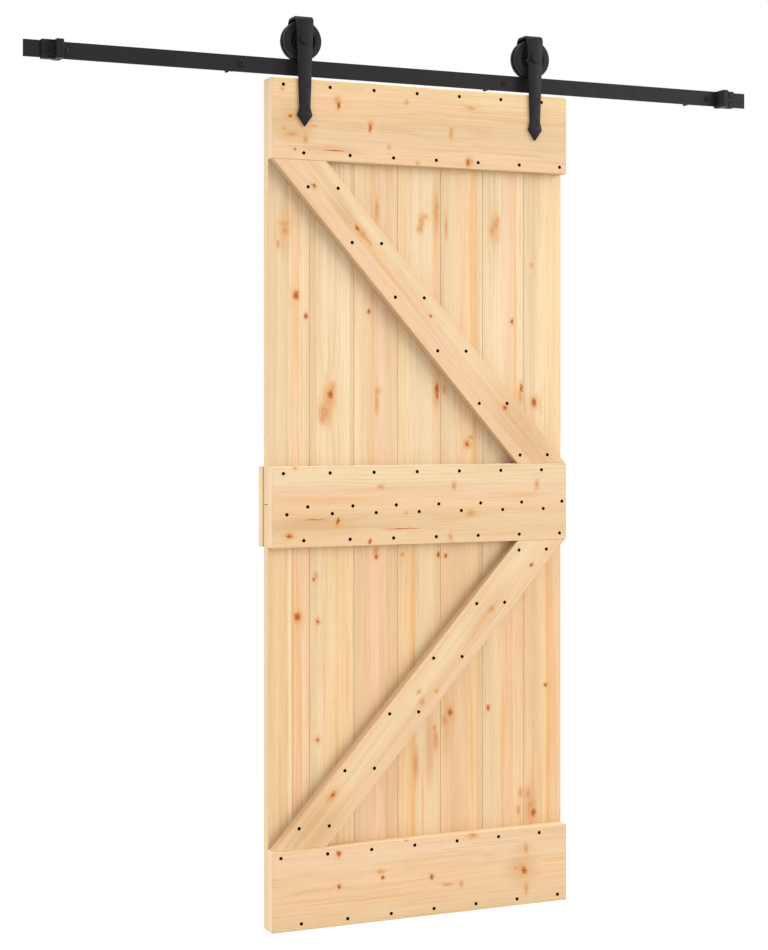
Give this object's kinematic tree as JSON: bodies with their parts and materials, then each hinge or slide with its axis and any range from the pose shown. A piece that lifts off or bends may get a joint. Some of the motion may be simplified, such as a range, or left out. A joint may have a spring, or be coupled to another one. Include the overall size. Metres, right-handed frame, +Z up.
{
  "type": "sliding barn door",
  "caption": "Sliding pine plank door with two slanting braces, hung by black strap hangers with grooved wheels from a flat black wall rail with end stops.",
  "frame": {"origin": "on the axis of the leftmost wall bolt, where it meets the wall's face behind the spacer", "axes": "+X along the rail to the right as seen from the front, +Y into the wall, +Z up; the door hangs in front of the wall at -Y"},
  "size_m": [2, 0.1605, 2.255],
  "materials": {
    "pine": "satin",
    "black_steel": "matte",
    "rubber": "matte",
    "bearing_steel": "satin"
  },
  "bodies": {
    "track": {"rail": "black_steel", "wall_bolts": "black_steel", "wall_spacers": "black_steel", "stop_left": "black_steel", "stop_right": "black_steel", "stop_pad_left": "rubber", "stop_pad_right": "rubber", "stop_rubbers_left": "rubber", "stop_rubbers_right": "rubber", "set_screws": "black_steel"},
    "door": {"axle_bolts": "black_steel", "axle_nuts": "black_steel", "axle_spacers": "black_steel", "axle_washers": "black_steel", "back_batten": "pine", "bottom_board": "pine", "bottom_board_screws": "black_steel", "inner_races": "bearing_steel", "lower_brace": "pine", "lower_brace_screws": "black_steel", "lower_plank_1": "pine", "lower_plank_2": "pine", "lower_plank_3": "pine", "lower_plank_4": "pine", "lower_plank_5": "pine", "lower_plank_6": "pine", "lower_plank_7": "pine", "middle_board": "pine", "middle_board_screws": "black_steel", "strap_bolts": "black_steel", "strap_left": "black_steel", "strap_nuts": "black_steel", "strap_right": "black_steel", "strap_washers": "black_steel", "top_board": "pine", "top_board_screws": "black_steel", "upper_brace": "pine", "upper_brace_screws": "black_steel", "upper_plank_1": "pine", "upper_plank_2": "pine", "upper_plank_3": "pine", "upper_plank_4": "pine", "upper_plank_5": "pine", "upper_plank_6": "pine", "upper_plank_7": "pine"},
    "wheel_left": {"wheel_left": "black_steel", "outer_race_left": "bearing_steel", "bearing_balls_left": "bearing_steel"},
    "wheel_right": {"wheel_right": "black_steel", "outer_race_right": "bearing_steel", "bearing_balls_right": "bearing_steel"}
  },
  "joints": [
    {"name": "door_slide", "type": "slide", "parent": "track", "child": "door", "axis": [1, 0, 0], "range_m": [-0.578, 0.551]},
    {"name": "wheel_left_spin", "type": "hinge", "parent": "door", "child": "wheel_left", "pos_m": [0.5935, -0.073, 0.0663], "axis": [0, 1, 0], "continuous": true},
    {"name": "wheel_right_spin", "type": "hinge", "parent": "door", "child": "wheel_right", "pos_m": [1.2335, -0.073, 0.0663], "axis": [0, 1, 0], "continuous": true}
  ],
  "couplings": [
    {"joint": "wheel_left_spin", "follows": "door_slide", "rad_per_m": 21.598},
    {"joint": "wheel_right_spin", "follows": "door_slide", "rad_per_m": 21.598}
  ]
}
